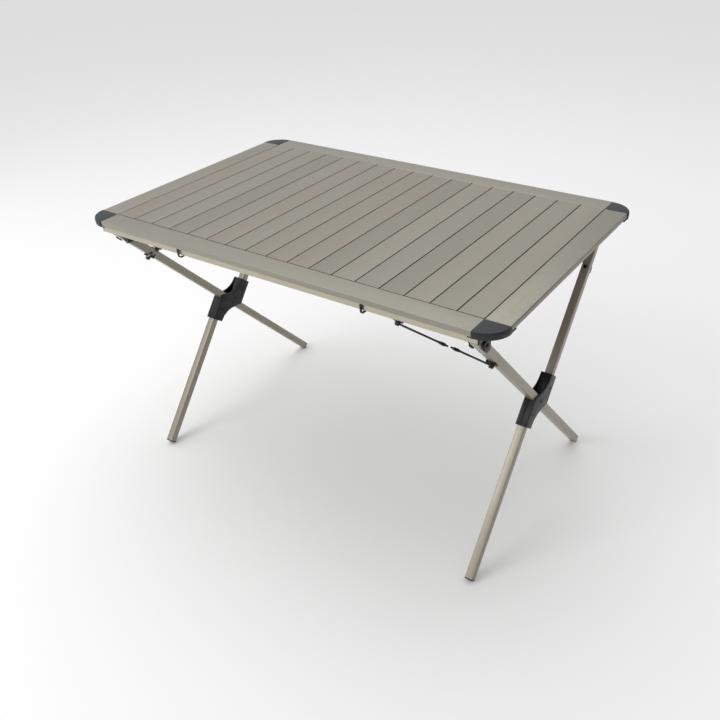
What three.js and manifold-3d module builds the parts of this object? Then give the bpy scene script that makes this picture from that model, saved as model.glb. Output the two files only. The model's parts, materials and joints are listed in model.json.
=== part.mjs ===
// A folding slat table: a flat slatted top on two long tubes, carried at each end by a crossed pair of legs.
// One leg of each pair is a single tube. The other is two parallel tubes joined by a moulded hub, and the
// single leg passes between them, so that the pair closes flat. Each pair hangs from the long tubes on
// knuckles that let it fold inwards under the top, and four thin braces hold the legs upright.
// X runs along the table, -Y is the front, +Z is up, and the origin is on the floor under the middle.

import * as THREE from 'three';
import { mergeVertices } from 'three/addons/utils/BufferGeometryUtils.js';
import Module from 'manifold-3d';

const wasm = await Module();
wasm.setup();

// Driving dimensions, in millimetres

const topHeight = 707;
const clearance = 0.3; // between pieces that touch

const slatCount = 17;
const slatPitch = 59.4;
const slatSeam = 1.8;
const slatLength = 606;
const slatDepth = 9.5;
const slatSkin = 1.5;
const arris = 0.6;
const battenSpacing = 200;
const battenWidth = 24;
const battenThick = 1.4;
const endSlatWidth = 54.4;
const endSlatDepth = 11.5;
const railWidth = 52.4;
const railLip = 12.5;
const railSkin = 1.5;
const railLedge = 15;
const railSeam = 0.5;
const cornerReachX = 57.6;
const cornerReachY = 53.2;
const cornerHeight = 15;
const cornerWall = 2.8;
const cornerTongue = 15;

const tubeSize = 20; // long tubes and legs
const tubeWall = 1.5;
const tubeRound = 1.8;
const tubeSetback = 19.9; // from the face of a rail to the middle of its long tube
const tubeOverhang = 9.6; // past the end of the rail
const capPlate = 2.5;
const capPlug = 12;

const legInset = 7.4; // from the end of the rail to the plane of the legs
const pinSetback = 32; // from the middle of a long tube to the pin at the top of a leg
const pinDrop = 33; // below the middle of the long tube
const hubHeight = 333;
const legTopPast = 26; // leg past its top pin
const splitOffset = 31.6; // each half of the split leg from the middle of the hub

const hubReach = 70;
const hubHalfWidth = 45.8;
const hubShoulder = 9.5;
const hubPlate = 3.6;
const hubRivetAlong = 38;
const hubSocketDepth = 57;
const pivotRadius = 3;
const rivetRadius = 2.2;
const headThick = 1.2;

const foldRiseRight = 19; // fold axis above the pin at the top of the leg
const foldInsetRight = 20; // fold axis inboard of the plane of the legs
const foldInsetLeft = 33;
const barrelRadius = 5;
const barrelLength = 20;
const barrelShift = 4; // outwards, from the pin at the top of the leg
const barrelPlay = 0.4;
const foldPinRadius = 2.2;
const earThick = 4;
const cheekThick = 4.8;
const cheekTop = 12;
const cheekLow = 15;
const cheekChamfer = 4;
const braceRelief = 10; // corner taken off a cheek where the brace's lower rod swings past
const legPinRadius = 2.5;

const clipX = 337; // brace clip on the long tube, from the middle
const clampDown = 97; // brace clamp on the leg, from the top pin
const braceStandOff = 17; // brace from the middle of the leg
const clipDrop = 7.6; // brace eye below the long tube
const kneeShare = 0.545; // of the brace, from the clip
const rodRadius = 2.2;
const eyeRadius = 6;
const eyeThick = 5.2;
const rodOffset = 2.4; // rod from the line between the two eyes, so that the rods swing past each other
const kneeHalf = 3.1;
const kneeSleeve = 12;
const kneeTip = 6; // bare rod past the sleeve
const kneeGap = 4; // along the brace, between the tips of its rods

const roundSteps = 12;

// Sizes that follow from them

const half = tubeSize / 2;
const railEnd = (slatCount * slatPitch) / 2 - 0.4;
const seamX = (slatCount * slatPitch) / 2;
const railInnerY = slatLength / 2 + railSeam;
const railOuterY = railInnerY + railWidth;
const tubeY = railOuterY - tubeSetback;
const ledgeLow = slatDepth + 1.5; // underside of the rail's ledge, below the top surface
const tubeZ = topHeight - ledgeLow - 1 - half;
const tubeEnd = railEnd + tubeOverhang;
const legX = seamX - legInset;
const pinY = tubeY - pinSetback;
const pinZ = tubeZ - pinDrop;
const rise = pinZ - hubHeight;
const legReach = Math.hypot(pinY, rise);
const legAngle = Math.atan2(rise, pinY);
const splitAngle = legAngle + Math.asin(splitOffset / legReach);
const hubThickness = half + 0.4 + hubPlate;
const cheekInner = half + 2.2;
const cheekOuter = cheekInner + cheekThick;
const cheekReach = half + 3;
const legPinBlind = 1 - cheekOuter;

// The two legs of a pair, each in its own frame: origin at the middle of the hub, +Z up along the leg,
// X across the table, and "out" the side of the leg that the brace is on.
const legs = {
  a: { end: -1, out: -1, tilt: Math.PI / 2 - legAngle, pinY: 0, pinZ: legReach },
  b: {
    end: 1,
    out: 1,
    tilt: splitAngle - Math.PI / 2,
    pinY: splitOffset,
    pinZ: Math.sqrt(legReach ** 2 - splitOffset ** 2),
  },
};

const sides = [
  { name: 'right', x: 1, foldZ: pinZ + foldRiseRight, foldInset: foldInsetRight },
  { name: 'left', x: -1, foldZ: pinZ, foldInset: foldInsetLeft },
];

const ends = [
  { name: 'front', y: -1, leg: legs.a },
  { name: 'back', y: 1, leg: legs.b },
];

// Finishes

const finishes = {
  slat: { color: 0xa9a695, roughness: 0.42, metalness: 0.55 },
  rail: { color: 0xb3b1a4, roughness: 0.4, metalness: 0.55 },
  frame: { color: 0xa39c8a, roughness: 0.38, metalness: 0.7 },
  plastic: { color: 0x24262a, roughness: 0.5, metalness: 0 },
  corner: { color: 0x505357, roughness: 0.45, metalness: 0 },
  rod: { color: 0x2f3031, roughness: 0.4, metalness: 0.6 },
  steel: { color: 0xb9babb, roughness: 0.3, metalness: 0.9 },
};

// Solids

function solid(geometry) {
  const bare = geometry.clone();
  bare.deleteAttribute('normal');
  bare.deleteAttribute('uv');
  const merged = mergeVertices(bare, 1e-4);
  const mesh = new wasm.Mesh({
    numProp: 3,
    vertProperties: new Float32Array(merged.attributes.position.array),
    triVerts: new Uint32Array(merged.index.array),
  });
  return new wasm.Manifold(mesh);
}

function join(...pieces) {
  return pieces.reduce((whole, piece) => whole.add(piece));
}

function cut(body, ...tools) {
  return tools.reduce((rest, tool) => rest.subtract(tool), body);
}

function toGeometry(body) {
  const mesh = body.getMesh();
  const geometry = new THREE.BufferGeometry();
  geometry.setAttribute('position', new THREE.BufferAttribute(new Float32Array(mesh.vertProperties), 3));
  geometry.setIndex(new THREE.BufferAttribute(new Uint32Array(mesh.triVerts), 1));
  const loose = geometry.toNonIndexed();
  loose.computeVertexNormals();
  return loose;
}

function box(x0, x1, y0, y1, z0, z1) {
  const geometry = new THREE.BoxGeometry(Math.abs(x1 - x0), Math.abs(y1 - y0), Math.abs(z1 - z0));
  geometry.translate((x0 + x1) / 2, (y0 + y1) / 2, (z0 + z1) / 2);
  return solid(geometry);
}

function cylinder(radius, axis, from, to, at, steps = roundSteps) {
  const geometry = new THREE.CylinderGeometry(radius, radius, Math.abs(to - from), steps);
  if (axis === 'x') geometry.rotateZ(Math.PI / 2);
  if (axis === 'z') geometry.rotateX(Math.PI / 2);
  const middle = (from + to) / 2;
  const place = { x: [middle, at[0], at[1]], y: [at[0], middle, at[1]], z: [at[0], at[1], middle] }[axis];
  geometry.translate(...place);
  return solid(geometry);
}

// An outline drawn in the plane across an axis, pushed along that axis: [y, z] along x, [x, z] along y.
function prism(outline, axis, from, to) {
  const shape = outline instanceof THREE.Shape ? outline : new THREE.Shape(outline.map((p) => new THREE.Vector2(...p)));
  const geometry = new THREE.ExtrudeGeometry(shape, {
    depth: Math.abs(to - from),
    bevelEnabled: false,
    curveSegments: 5,
  });
  const low = Math.min(from, to);
  const high = Math.max(from, to);
  const basis = new THREE.Matrix4();
  const [x, y, z] = [new THREE.Vector3(1, 0, 0), new THREE.Vector3(0, 1, 0), new THREE.Vector3(0, 0, 1)];
  if (axis === 'x') basis.makeBasis(y, z, x).setPosition(low, 0, 0);
  if (axis === 'y') basis.makeBasis(x, z, y.clone().negate()).setPosition(0, high, 0);
  if (axis === 'z') basis.makeBasis(x, y, z).setPosition(0, 0, low);
  geometry.applyMatrix4(basis);
  return solid(geometry);
}

function mirrored(outline, sign) {
  return outline.map(([u, v]) => [u * sign, v]);
}

function roundedSquare(size, radius) {
  const s = size / 2;
  const c = s - radius;
  const path = new THREE.Shape();
  path.moveTo(c, -s);
  path.absarc(c, -c, radius, -Math.PI / 2, 0, false);
  path.absarc(c, c, radius, 0, Math.PI / 2, false);
  path.absarc(-c, c, radius, Math.PI / 2, Math.PI, false);
  path.absarc(-c, -c, radius, Math.PI, Math.PI * 1.5, false);
  path.closePath();
  return path;
}

// A square tube along Z, centred on X and Y.
function squareTube(from, to) {
  const outline = roundedSquare(tubeSize, tubeRound);
  const s = half - tubeWall;
  outline.holes.push(new THREE.Path([[-s, -s], [-s, s], [s, s], [s, -s]].map((p) => new THREE.Vector2(...p))));
  const geometry = new THREE.ExtrudeGeometry(outline, { depth: to - from, bevelEnabled: false, curveSegments: 2 });
  geometry.translate(0, 0, from);
  return solid(geometry);
}

// A cap on the end of a square tube, its plate outside and its plug inside. "way" points out of the tube.
function tubeCap(at, way) {
  const s = half - tubeWall - clearance;
  const gap = at + way * clearance;
  const plate = solid(
    new THREE.ExtrudeGeometry(roundedSquare(tubeSize, tubeRound), {
      depth: capPlate,
      bevelEnabled: false,
      curveSegments: 2,
    }).translate(0, 0, Math.min(gap, gap + way * capPlate)),
  );
  return join(plate, box(-s, s, -s, s, gap + (way * capPlate) / 2, at - way * capPlug));
}

function turned(body, matrix) {
  return body.transform(matrix.elements);
}

const model = new THREE.Group();
model.name = 'folding_table';

function add(name, body, finish, parent = model) {
  const mesh = new THREE.Mesh(toGeometry(body), new THREE.MeshStandardMaterial(finishes[finish]));
  mesh.name = name;
  parent.add(mesh);
  return mesh;
}

// Slatted top, in a frame with Z = 0 on the top surface

const top = new THREE.Group();
top.position.z = topHeight;
model.add(top);

function slatOutline() {
  const w = (slatPitch - slatSeam) / 2;
  const inner = w - slatSkin;
  const rib = slatSkin / 2;
  return [
    [-w, -slatDepth], [-w, -arris], [-w + arris, 0], [w - arris, 0], [w, -arris], [w, -slatDepth],
    [inner, -slatDepth], [inner, -slatSkin], [rib, -slatSkin], [rib, -slatDepth / 2],
    [-rib, -slatDepth / 2], [-rib, -slatSkin], [-inner, -slatSkin], [-inner, -slatDepth],
  ];
}

// The inner slats are held together by battens across their undersides.
function slatPanel() {
  const slat = prism(slatOutline(), 'y', -slatLength / 2, slatLength / 2);
  const first = (-(slatCount - 1) / 2) * slatPitch;
  const row = Array.from({ length: slatCount }, (_, i) => slat.translate([first + i * slatPitch, 0, 0]));
  const reach = -first + slatPitch / 2 - slatSeam;
  const battens = [-1, 0, 1].map((way) => {
    const y = way * battenSpacing;
    return box(-reach, reach, y - battenWidth / 2, y + battenWidth / 2, -slatDepth - battenThick, -slatDepth + 0.5);
  });
  return join(...row, ...battens);
}

function endSlat(side) {
  const x0 = seamX + slatSeam / 2;
  const x1 = seamX + endSlatWidth;
  const lip = x1 + arris * 2;
  const outline = [
    [x0, -slatDepth], [x0, -arris], [x0 + arris, 0], [x1 - arris * 2, 0], [x1, -arris], [lip, -arris * 5],
    [lip, -endSlatDepth], [lip - slatSkin, -endSlatDepth], [lip - slatSkin, -arris * 5],
    [x1 - slatSkin, -slatSkin], [x0 + slatSkin, -slatSkin], [x0 + slatSkin, -slatDepth],
  ];
  return prism(mirrored(outline, side.x), 'y', -slatLength / 2, slatLength / 2);
}

function rail(end) {
  const y0 = railInnerY;
  const y1 = railOuterY;
  const ledgeTop = slatDepth + clearance;
  const outline = [
    [y0 - railLedge, -ledgeLow], [y0 + railSkin, -ledgeLow], [y0 + railSkin, -railSkin],
    [y1 - railSkin, -railSkin], [y1 - railSkin, -railLip], [y1, -railLip], [y1, -arris], [y1 - arris, 0],
    [y0 + arris, 0], [y0, -arris], [y0, -ledgeTop], [y0 - railLedge, -ledgeTop],
  ];
  return prism(mirrored(outline, end.y), 'x', -railEnd, railEnd);
}

// A moulded corner: a quarter of a turned dish, stretched to the widths of the end slat and the rail.
// Two tongues plug into them, and two short lips run on under their edges.
function corner(side, end) {
  const r = 100; // radius before it is stretched
  const inner = r * (1 - cornerWall / cornerReachX);
  const profile = [
    [0, -cornerWall], [inner, -cornerWall], [inner, -cornerHeight], [r * 0.995, -cornerHeight],
    [r * 1.005, -cornerHeight * 0.6], [r, -3.2], [r * 0.985, -0.9], [r * 0.955, 0], [0, 0],
  ];
  const turn = new THREE.LatheGeometry(profile.map((p) => new THREE.Vector2(...p)), 40);
  turn.rotateX(Math.PI / 2);
  turn.scale(cornerReachX / r, cornerReachY / r, 1);
  const quarter = solid(turn).intersect(box(0.4, 100, 0.4, 100, -50, 50));
  const lid = -cornerWall + 0.2;
  const tongueZ = -railSkin - clearance;
  const tongues = join(
    box(-cornerTongue, 2, 6, railWidth - 7, -cornerWall - 2, tongueZ),
    box(4, endSlatWidth - 7, -cornerTongue, 2, -cornerWall - 2, tongueZ),
    box(0.4, 4, 6, railWidth - 7, -cornerWall - 2, lid),
    box(4, endSlatWidth - 7, 0.4, 4, -cornerWall - 2, lid),
  );
  const lipZ = -railLip - clearance;
  const endLipZ = -endSlatDepth - clearance;
  const lips = join(
    box(-8, 3, cornerReachY - 6, cornerReachY - 1, lipZ - 2.2, lipZ),
    box(cornerReachX - 8, cornerReachX - 1, -20, 3, endLipZ - 3, endLipZ),
  );
  const placed = join(quarter, tongues, lips);
  const flip = new THREE.Matrix4().makeScale(side.x, end.y, 1);
  return turned(placed, flip).translate([side.x * seamX, end.y * railInnerY, 0]);
}

add('slat_panel', slatPanel(), 'slat', top);
for (const side of sides) add(`end_slat_${side.name}`, endSlat(side), 'slat', top);
for (const end of ends) add(`rail_${end.name}`, rail(end), 'rail', top);
for (const end of ends) {
  for (const side of sides) add(`corner_${end.name}_${side.name}`, corner(side, end), 'corner', top);
}

// Long tubes

function alongX(body) {
  return turned(body, new THREE.Matrix4().makeRotationY(Math.PI / 2));
}

for (const end of ends) {
  const tube = new THREE.Group();
  tube.position.set(0, end.y * tubeY, tubeZ);
  model.add(tube);
  add(`${end.name}_tube`, alongX(squareTube(-tubeEnd, tubeEnd)), 'frame', tube);
}

// Fold brackets on the inner faces of the long tubes. Each has two ears, and a knuckle's barrel turns on a
// pin between them, along Y. Y here is the distance from the middle of the table.
const barrelOuter = pinY + barrelLength / 2 + barrelShift;
const barrelInner = barrelOuter - barrelLength;
const earFarInner = barrelInner - barrelPlay - earThick;

function foldBracket(side, end) {
  const foldX = legX - side.foldInset;
  const top = tubeZ + half - 0.5;
  const face = tubeY - half - clearance;
  const bridgeLow = pinZ + foldRiseRight + barrelRadius + 0.8;
  const ear = new THREE.Shape();
  ear.moveTo(foldX + barrelRadius, side.foldZ);
  ear.lineTo(foldX + 8, side.foldZ + 6);
  ear.lineTo(foldX + 8, top);
  ear.lineTo(foldX - 8, top);
  ear.lineTo(foldX - 8, side.foldZ + 6);
  ear.lineTo(foldX - barrelRadius, side.foldZ);
  ear.absarc(foldX, side.foldZ, barrelRadius, Math.PI, Math.PI * 2, false);
  const body = join(
    prism(ear, 'y', barrelOuter + barrelPlay, face),
    prism(ear, 'y', earFarInner, earFarInner + earThick),
    box(foldX - 8, foldX + 8, earFarInner, face, bridgeLow, top),
  );
  const bored = cut(body, cylinder(foldPinRadius + clearance, 'y', earFarInner - 2, face + 2, [foldX, side.foldZ]));
  return turned(bored, new THREE.Matrix4().makeScale(side.x, end.y, 1));
}

function foldPin(side, end) {
  const at = [legX - side.foldInset, side.foldZ];
  const face = tubeY - half - clearance;
  const headAt = earFarInner - clearance;
  const pin = join(
    cylinder(foldPinRadius, 'y', headAt - headThick / 2, face - 1, at),
    cylinder(foldPinRadius + 1.8, 'y', headAt - headThick, headAt, at),
  );
  return turned(pin, new THREE.Matrix4().makeScale(side.x, end.y, 1));
}

for (const end of ends) {
  for (const side of sides) {
    add(`fold_bracket_${end.name}_${side.name}`, foldBracket(side, end), 'plastic');
    add(`fold_pin_${end.name}_${side.name}`, foldPin(side, end), 'steel');
  }
}

// Knuckles: a barrel that turns on the fold pin, and a fork over the top of the leg. The fork's bridge is on
// the inner side, where the leg doesn't swing.
function knuckle(side, end) {
  const z = side.foldZ - pinZ;
  const x = -side.foldInset;
  const y = (v) => end.y * v;
  const link = new THREE.Shape();
  const [toX, toZ] = [-cheekOuter + 1.6, Math.min(z, 5)];
  const bearing = Math.atan2(toZ - z, toX - x);
  link.absarc(x, z, barrelRadius, bearing + Math.PI / 2, bearing + Math.PI * 1.5, false);
  link.absarc(toX, toZ, 3.2, bearing - Math.PI / 2, bearing + Math.PI / 2, false);
  const cheek = (x0, x1) => {
    const [r, c] = [cheekReach, cheekChamfer];
    const outline = [
      [y(-r), c - cheekLow], [y(c - r), -cheekLow], [y(r - braceRelief), -cheekLow], [y(r), braceRelief - cheekLow],
      [y(r), cheekTop - c], [y(r - c), cheekTop], [y(c - r), cheekTop], [y(-r), cheekTop - c],
    ];
    return prism(outline, 'x', x0, x1);
  };
  const bridgeAt = -half - 1.4; // clear of the leg
  const bridgeFar = bridgeAt - 3.2;
  const body = join(
    cheek(-cheekOuter, -cheekInner),
    cheek(cheekInner, cheekOuter),
    box(-cheekOuter, cheekOuter, y(bridgeAt), y(bridgeFar), 4, cheekTop - 1),
    box(-cheekOuter, -cheekInner, y(1 - half), y(bridgeFar), 4, cheekTop - 1),
    box(cheekInner, cheekOuter, y(1 - half), y(bridgeFar), 4, cheekTop - 1),
    prism(link, 'y', y(barrelOuter - pinY), y(barrelInner - pinY)),
  );
  const bored = cut(
    body,
    cylinder(foldPinRadius + clearance, 'y', -30, 30, [x, z]),
    cylinder(legPinRadius + clearance, 'x', legPinBlind, 30, [0, 0]),
  );
  return turned(bored, new THREE.Matrix4().makeScale(side.x, 1, 1));
}

// The pin through a leg's top goes in from outside, into a blind hole in the inner cheek.
function legPin(side) {
  const grip = cheekOuter + clearance;
  const pin = join(
    cylinder(legPinRadius, 'x', legPinBlind + clearance, grip + 1, [0, 0]),
    cylinder(legPinRadius + 2.5, 'x', grip, grip + 2, [0, 0]),
  );
  return turned(pin, new THREE.Matrix4().makeScale(side.x, 1, 1));
}

for (const end of ends) {
  for (const side of sides) {
    const place = new THREE.Group();
    place.position.set(side.x * legX, end.y * pinY, pinZ);
    model.add(place);
    add(`knuckle_${end.name}_${side.name}`, knuckle(side, end), 'plastic', place);
    add(`leg_pin_${end.name}_${side.name}`, legPin(side), 'steel', place);
  }
}

// Legs. A foot is cut square, so its lower corner rests on the floor.

function footAlong(leg, offset) {
  const low = offset * Math.sin(leg.tilt) - half * Math.abs(Math.sin(leg.tilt));
  return -(hubHeight + low) / Math.cos(leg.tilt);
}

function braceHole(leg) {
  return cylinder(legPinRadius + clearance, 'y', -40, 80, [0, leg.pinZ - clampDown]);
}

function legHole(y, z, radius) {
  return cylinder(radius + clearance, 'x', -40, 40, [y, z]);
}

function singleLeg() {
  const leg = legs.a;
  const foot = footAlong(leg, 0) + capPlate + clearance;
  const tube = squareTube(foot, leg.pinZ + legTopPast);
  return cut(tube, legHole(0, 0, pivotRadius), legHole(0, leg.pinZ, legPinRadius), braceHole(leg));
}

function upperHalfLeg() {
  const leg = legs.b;
  const start = hubReach - hubSocketDepth + clearance;
  const tube = squareTube(start, leg.pinZ + legTopPast).translate([0, splitOffset, 0]);
  const rivet = legHole(splitOffset, hubRivetAlong, rivetRadius);
  return cut(tube, legHole(splitOffset, leg.pinZ, legPinRadius), braceHole(leg), rivet);
}

function lowerHalfLeg() {
  const foot = footAlong(legs.b, -splitOffset) + capPlate + clearance;
  const start = hubReach - hubSocketDepth + clearance;
  const tube = squareTube(foot, -start).translate([0, -splitOffset, 0]);
  return cut(tube, legHole(-splitOffset, -hubRivetAlong, rivetRadius));
}

// Hub: two moulded halves that grip the ends of the split leg. Its shape is drawn as [y, z] in the frame of
// the split leg: sockets for the two tubes, stops for the single leg, and hollow flanks over them.
function hubOutline() {
  const shape = new THREE.Shape();
  shape.moveTo(hubHalfWidth, 0);
  shape.lineTo(hubHalfWidth, hubReach);
  shape.lineTo(hubShoulder, hubReach);
  shape.bezierCurveTo(hubShoulder, hubReach * 0.5, -12, hubReach * 0.26, -hubHalfWidth, 0);
  shape.lineTo(-hubHalfWidth, -hubReach);
  shape.lineTo(-hubShoulder, -hubReach);
  shape.bezierCurveTo(-hubShoulder, -hubReach * 0.5, 12, -hubReach * 0.26, hubHalfWidth, 0);
  return shape;
}

function hubShell(side, inboard) {
  const opening = splitAngle + legAngle - Math.PI / 2;
  const slope = Math.tan(opening);
  const stop = (half + 0.5) / Math.cos(opening);
  const wall = half + 0.6;
  const far = 90;
  const room = [
    [far, stop - slope * far], [wall, stop - slope * wall], [wall, far], [-far, far],
    [-far, -stop + slope * far], [-wall, -stop + slope * wall], [-wall, -far], [far, -far],
  ];
  const gap = half + 0.4;
  const socket = half + clearance;
  const shell = prism(hubOutline(), 'x', -hubThickness, hubThickness);
  const bored = cut(
    shell,
    prism(room, 'x', -gap, gap),
    box(-socket, socket, splitOffset - socket, splitOffset + socket, hubReach - hubSocketDepth, far),
    box(-socket, socket, -splitOffset - socket, -splitOffset + socket, -far, hubSocketDepth - hubReach),
    legHole(0, 0, pivotRadius),
    legHole(splitOffset, hubRivetAlong, rivetRadius),
    legHole(-splitOffset, -hubRivetAlong, rivetRadius),
  );
  const way = inboard ? -side.x : side.x;
  return bored.intersect(box(way * clearance * 0.5, way * 50, -far, far, -far, far));
}

function hubPivot() {
  const grip = hubThickness + clearance * 0.5;
  return join(
    cylinder(pivotRadius, 'x', -grip - headThick / 2, grip + headThick / 2, [0, 0]),
    cylinder(pivotRadius + 2.2, 'x', grip, grip + headThick, [0, 0]),
    cylinder(pivotRadius + 2.2, 'x', -grip, -grip - headThick, [0, 0]),
  );
}

// Braces. A brace lies in the plane of X and its leg. It runs from a clamp bolted through the leg to an eye
// under the long tube, and its two rods meet at a knee.
function brace(leg) {
  const y = leg.pinY + leg.out * braceStandOff;
  const z = leg.pinZ - clampDown;
  const eyeZ = tubeZ - half - clipDrop;
  const climb = (eyeZ - hubHeight - y * Math.sin(leg.tilt)) / Math.cos(leg.tilt) - z;
  const run = legX - clipX;
  const length = Math.hypot(run, climb);
  return { y, z, climb, run, length, angle: Math.atan2(climb, run) };
}

// A rod along +X from an eye at the origin, out of line by "beside", with its half of the knee near the end.
function braceRod(reach, beside) {
  const eye = cylinder(eyeRadius, 'y', -eyeThick / 2, eyeThick / 2, [0, 0], 20);
  const bore = cylinder(legPinRadius + clearance, 'y', -20, 20, [0, 0]);
  const end = reach - kneeGap / 2;
  const flat = kneeHalf - 1;
  const rod = cylinder(rodRadius, 'x', 0, end, [0, beside], 10);
  const sleeve = prism(
    [[-kneeHalf, -flat], [-flat, -kneeHalf], [flat, -kneeHalf], [kneeHalf, -flat],
      [kneeHalf, flat], [flat, kneeHalf], [-flat, kneeHalf], [-kneeHalf, flat]],
    'x', end - kneeTip - kneeSleeve, end - kneeTip,
  ).translate([0, 0, beside]);
  return cut(join(eye, rod, sleeve), bore);
}

// Both rods of a brace, in the frame of the leg: the lower one climbs inwards from the clamp, and the upper
// one falls outwards from the clip.
function addBrace(leg, tail, side, frame) {
  const { y, z, climb, run, length, angle } = brace(leg);
  const beside = -side.x * rodOffset;
  const lower = add(`brace_lower_${tail}`, braceRod(length * (1 - kneeShare), beside), 'rod', frame);
  lower.position.set(0, y, z);
  lower.rotation.y = side.x > 0 ? Math.PI + angle : -angle;
  const upper = add(`brace_upper_${tail}`, braceRod(length * kneeShare, beside), 'rod', frame);
  upper.position.set(-side.x * run, y, z + climb);
  upper.rotation.y = side.x > 0 ? angle : Math.PI - angle;
}

// The clamp has one ear, which wraps the inboard side of the leg.
function braceClamp(leg, side) {
  const { y, z } = brace(leg);
  const o = leg.out;
  const face = leg.pinY + o * (half + clearance);
  const seat = y - o * (eyeThick / 2 + clearance);
  const w = half + clearance;
  const ear = w + 2.2;
  const saddle = join(
    box(-side.x * ear, side.x * half, face, seat, z - 8, z + 8),
    box(-side.x * ear, -side.x * w, face - o * 9, seat, z - 8, z + 8),
  );
  const head = y + o * (eyeThick / 2 + clearance);
  const nut = leg.pinY - o * (half + clearance);
  const bolt = join(
    cylinder(legPinRadius, 'y', nut - o, head + o, [0, z]),
    cylinder(legPinRadius + 2.6, 'y', head, head + o * 2.2, [0, z]),
    cylinder(legPinRadius + 2.6, 'y', nut, nut - o * 2.6, [0, z], 6),
  );
  return join(saddle, bolt);
}

// Clip around the underside of a long tube, with the stud that the upper rod's eye turns on.
function braceClip(side, end) {
  const { leg } = end;
  const { y, z, climb } = brace(leg);
  const [c, s] = [Math.cos(leg.tilt), Math.sin(leg.tilt)];
  const eyeY = y * c - (z + climb) * s;
  const eyeZ = hubHeight + y * s + (z + climb) * c;
  const way = -leg.out;
  const local = (across, along) => [eyeY + across * way * c - along * s, eyeZ + across * way * s + along * c];
  const bottom = tubeZ - half - clearance;
  const e = end.y;
  const seat = eyeThick / 2 + clearance;
  const stock = prism([local(seat, -7), local(seat, 7), local(seat + 14, 7), local(seat + 14, -7)], 'x', -8, 8);
  const under = box(-40, 40, e * (tubeY - half - 3), e * (tubeY + half + 3), bottom - 30, bottom);
  const saddle = join(
    box(-9, 9, e * (tubeY - half - 2.6), e * (tubeY + half), bottom - 2.6, bottom),
    box(-9, 9, e * (tubeY - half - 2.6), e * (tubeY - half - clearance), bottom - 2.6, bottom + 8),
  );
  const beside = box(-20, 20, way * seat, way * 80, -60, 60); // the side of the eye that the clip is on
  const turn = new THREE.Matrix4().makeRotationX(leg.tilt).setPosition(0, eyeY, eyeZ);
  const head = -(eyeThick / 2 + clearance);
  const stud = join(
    cylinder(legPinRadius, 'y', way * (head - 1), way * (seat + 2), [0, 0]),
    cylinder(legPinRadius + 2, 'y', way * head, way * (head - 1.8), [0, 0]),
  );
  const block = join(saddle, stock.intersect(under)).intersect(turned(beside, turn));
  const body = join(block, turned(stud, turn));
  return body.translate([side.x * clipX, 0, 0]);
}

for (const side of sides) {
  for (const [letter, leg] of Object.entries(legs)) {
    const frame = new THREE.Group();
    frame.position.set(side.x * legX, 0, hubHeight);
    frame.rotation.x = leg.tilt;
    model.add(frame);
    const end = ends.find((item) => item.leg === leg);
    const capped = (offset) => tubeCap(footAlong(leg, offset) + capPlate + clearance, -1).translate([0, offset, 0]);
    if (letter === 'a') {
      add(`leg_a_${side.name}`, singleLeg(), 'frame', frame);
      add(`foot_a_${side.name}`, capped(0), 'plastic', frame);
    } else {
      add(`leg_b_upper_${side.name}`, upperHalfLeg(), 'frame', frame);
      add(`leg_b_lower_${side.name}`, lowerHalfLeg(), 'frame', frame);
      add(`foot_b_${side.name}`, capped(-splitOffset), 'plastic', frame);
      add(`hub_outer_${side.name}`, hubShell(side, false), 'plastic', frame);
      add(`hub_inner_${side.name}`, hubShell(side, true), 'plastic', frame);
      add(`hub_pivot_${side.name}`, hubPivot(), 'steel', frame);
    }
    const tail = `${end.name}_${side.name}`;
    add(`brace_clamp_${tail}`, braceClamp(leg, side), 'plastic', frame);
    addBrace(leg, tail, side, frame);
  }
}

for (const end of ends) {
  for (const side of sides) add(`brace_clip_${end.name}_${side.name}`, braceClip(side, end), 'plastic');
}

export default model;
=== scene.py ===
# A folding slat table in champagne anodised aluminium, on crossed legs with black moulded joints
import json
import math

import bmesh
import bpy
from mathutils import Matrix, Vector

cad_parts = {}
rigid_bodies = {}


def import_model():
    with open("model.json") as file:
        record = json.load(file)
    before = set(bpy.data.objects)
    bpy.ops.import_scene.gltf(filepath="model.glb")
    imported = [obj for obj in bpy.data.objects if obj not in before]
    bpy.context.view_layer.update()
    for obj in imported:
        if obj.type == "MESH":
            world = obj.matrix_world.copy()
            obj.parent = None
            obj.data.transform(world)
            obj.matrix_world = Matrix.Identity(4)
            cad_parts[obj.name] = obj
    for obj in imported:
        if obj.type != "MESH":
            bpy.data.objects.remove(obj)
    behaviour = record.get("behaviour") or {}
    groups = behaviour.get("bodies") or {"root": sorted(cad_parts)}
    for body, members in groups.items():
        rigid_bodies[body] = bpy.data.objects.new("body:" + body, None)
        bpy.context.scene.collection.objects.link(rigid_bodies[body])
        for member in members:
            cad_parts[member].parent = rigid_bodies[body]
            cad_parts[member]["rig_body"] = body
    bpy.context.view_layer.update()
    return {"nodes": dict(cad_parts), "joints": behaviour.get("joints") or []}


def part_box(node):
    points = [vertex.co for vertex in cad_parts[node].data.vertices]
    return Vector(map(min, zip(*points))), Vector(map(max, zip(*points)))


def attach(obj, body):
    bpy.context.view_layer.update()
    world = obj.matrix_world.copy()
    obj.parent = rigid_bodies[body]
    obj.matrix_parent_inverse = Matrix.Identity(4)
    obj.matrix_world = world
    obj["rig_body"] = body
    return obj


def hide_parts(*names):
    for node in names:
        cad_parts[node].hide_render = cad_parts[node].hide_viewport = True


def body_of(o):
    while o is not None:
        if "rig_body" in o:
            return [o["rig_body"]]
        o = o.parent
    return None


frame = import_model()
nodes = frame["nodes"]
joints = {joint["name"]: joint for joint in frame["joints"]}
mm = 0.001
sides = {"right": 1, "left": -1}
ends = {"front": -1, "back": 1}
print("frame loaded with", len(nodes), "nodes")


# camera, lights and floor

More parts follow.
